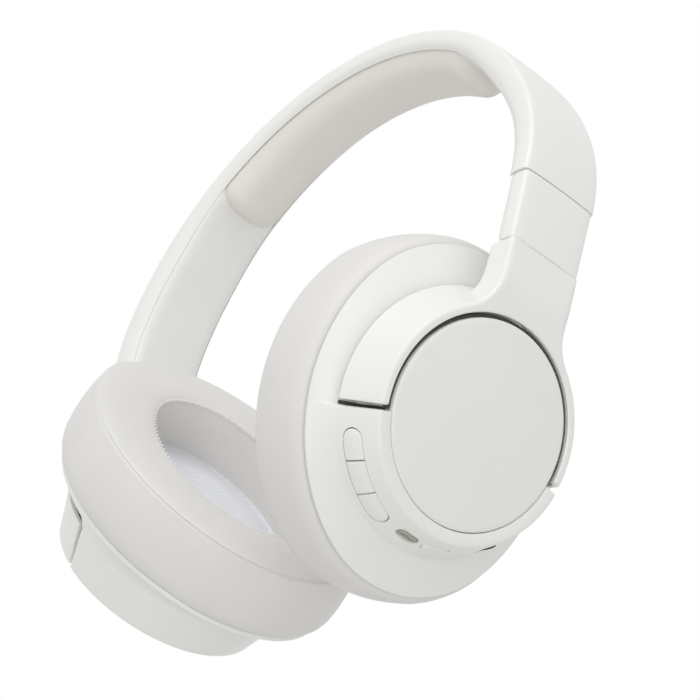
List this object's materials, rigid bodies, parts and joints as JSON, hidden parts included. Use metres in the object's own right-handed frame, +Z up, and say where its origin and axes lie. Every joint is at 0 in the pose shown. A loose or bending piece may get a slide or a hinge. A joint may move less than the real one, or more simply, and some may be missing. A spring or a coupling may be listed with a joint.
{
  "type": "over-ear headphones",
  "caption": "White wireless over-ear headphones: folding, sliding headband with a pad, swivelling yokes, oval cushioned ear cups, keys on the right cup.",
  "frame": {"origin": "centre of the bounding box at its lowest face, where the ear cups' lower rims stand", "axes": "+Z up along the headband's middle plane, -Y the way the wearer faces, -X the wearer's right ear cup, which has the controls"},
  "size_m": [0.1712, 0.0907, 0.1828],
  "materials": {
    "shell": "satin",
    "cap_plastic": "matt",
    "inner_plastic": "matt",
    "steel": "satin",
    "knuckle_alloy": "satin",
    "pad_leather": "soft grain",
    "cushion_leather": "soft grain",
    "cloth": "fine mesh",
    "dark_plastic": "matt",
    "magnet_metal": "satin",
    "diaphragm_film": "clear",
    "cable_sheath": "matt",
    "battery_wrap": "gloss",
    "board": "solder mask",
    "port_plastic": "matt"
  },
  "bodies": {
    "headband": {"headband_shell": "shell", "headband_lining": "inner_plastic", "headband_spring": "steel", "head_pad": "pad_leather", "band_screws": "steel", "cross_cable": "cable_sheath", "slider_guide_left": "inner_plastic", "slider_guide_right": "inner_plastic"},
    "slider_left": {"slider_strip_left": "steel", "hinge_block_left": "shell", "hinge_cover_left": "inner_plastic", "hinge_pin_left": "steel", "hinge_screws_left": "steel"},
    "knuckle_left": {"hinge_knuckle_left": "knuckle_alloy", "swivel_clip_left": "steel"},
    "yoke_left": {"yoke_left": "shell", "yoke_cover_left": "inner_plastic", "pivot_pins_left": "steel"},
    "cup_left": {"cup_housing_left": "shell", "cup_cap_left": "cap_plastic", "baffle_left": "inner_plastic", "driver_basket_left": "dark_plastic", "driver_magnet_left": "magnet_metal", "driver_diaphragm_left": "diaphragm_film", "cushion_ring_left": "inner_plastic", "ear_cushion_left": "cushion_leather", "driver_cloth_left": "cloth", "cup_screws_left": "steel", "battery": "battery_wrap"},
    "slider_right": {"slider_strip_right": "steel", "hinge_block_right": "shell", "hinge_cover_right": "inner_plastic", "hinge_pin_right": "steel", "hinge_screws_right": "steel"},
    "knuckle_right": {"hinge_knuckle_right": "knuckle_alloy", "swivel_clip_right": "steel"},
    "yoke_right": {"yoke_right": "shell", "yoke_cover_right": "inner_plastic", "pivot_pins_right": "steel"},
    "cup_right": {"cup_housing_right": "shell", "cup_cap_right": "cap_plastic", "baffle_right": "inner_plastic", "driver_basket_right": "dark_plastic", "driver_magnet_right": "magnet_metal", "driver_diaphragm_right": "diaphragm_film", "cushion_ring_right": "inner_plastic", "ear_cushion_right": "cushion_leather", "driver_cloth_right": "cloth", "cup_screws_right": "steel", "main_board": "board", "button_board": "board", "microphone_port": "port_plastic", "jack_socket": "dark_plastic", "charging_socket": "steel"},
    "volume_up_key": {"volume_up_button": "shell"},
    "multifunction_key": {"multifunction_button": "shell"},
    "volume_down_key": {"volume_down_button": "shell"},
    "power_key": {"power_button": "shell"}
  },
  "joints": [
    {"name": "slider_left", "type": "slide", "parent": "headband", "child": "slider_left", "axis": [0.0785, 0, -0.9969], "range_m": [0, 0.02]},
    {"name": "fold_left", "type": "hinge", "parent": "slider_left", "child": "knuckle_left", "pos_m": [0.07669, -0.00318, 0.08144], "axis": [0, 1, 0], "range_deg": [0, 65]},
    {"name": "swivel_left", "type": "hinge", "parent": "knuckle_left", "child": "yoke_left", "pos_m": [0.07568, -0.00318, 0.07167], "axis": [0.1736, 0, 0.9848], "range_deg": [-4, 26]},
    {"name": "tilt_left", "type": "hinge", "parent": "yoke_left", "child": "cup_left", "pos_m": [0.05603, -0.00066, 0.03494], "axis": [-0.1454, -0.9828, 0.1142], "range_deg": [-2, 8]},
    {"name": "slider_right", "type": "slide", "parent": "headband", "child": "slider_right", "axis": [-0.0785, 0, -0.9969], "range_m": [0, 0.02]},
    {"name": "fold_right", "type": "hinge", "parent": "slider_right", "child": "knuckle_right", "pos_m": [-0.07669, -0.00318, 0.08144], "axis": [0, 1, 0], "range_deg": [-65, 0]},
    {"name": "swivel_right", "type": "hinge", "parent": "knuckle_right", "child": "yoke_right", "pos_m": [-0.07568, -0.00318, 0.07167], "axis": [-0.1736, 0, 0.9848], "range_deg": [-15, 15]},
    {"name": "tilt_right", "type": "hinge", "parent": "yoke_right", "child": "cup_right", "pos_m": [-0.05579, -0.00318, 0.03498], "axis": [0.0423, 0.9958, -0.0812], "range_deg": [-2, 8]},
    {"name": "press_volume_up", "type": "slide", "parent": "cup_right", "child": "volume_up_key", "axis": [-0.2734, -0.8059, 0.5251], "range_m": [0, 0.0006], "stiffness_N_per_m": 1500, "springref_m": -0.0002},
    {"name": "press_multifunction", "type": "slide", "parent": "cup_right", "child": "multifunction_key", "axis": [-0.3606, -0.6246, 0.6927], "range_m": [0, 0.0006], "stiffness_N_per_m": 1500, "springref_m": -0.0002},
    {"name": "press_volume_down", "type": "slide", "parent": "cup_right", "child": "volume_down_key", "axis": [-0.4252, -0.3899, 0.8168], "range_m": [0, 0.0006], "stiffness_N_per_m": 1500, "springref_m": -0.0002},
    {"name": "press_power", "type": "slide", "parent": "cup_right", "child": "power_key", "axis": [-0.4499, 0.225, 0.8643], "range_m": [0, 0.0006], "stiffness_N_per_m": 1500, "springref_m": -0.0002}
  ]
}
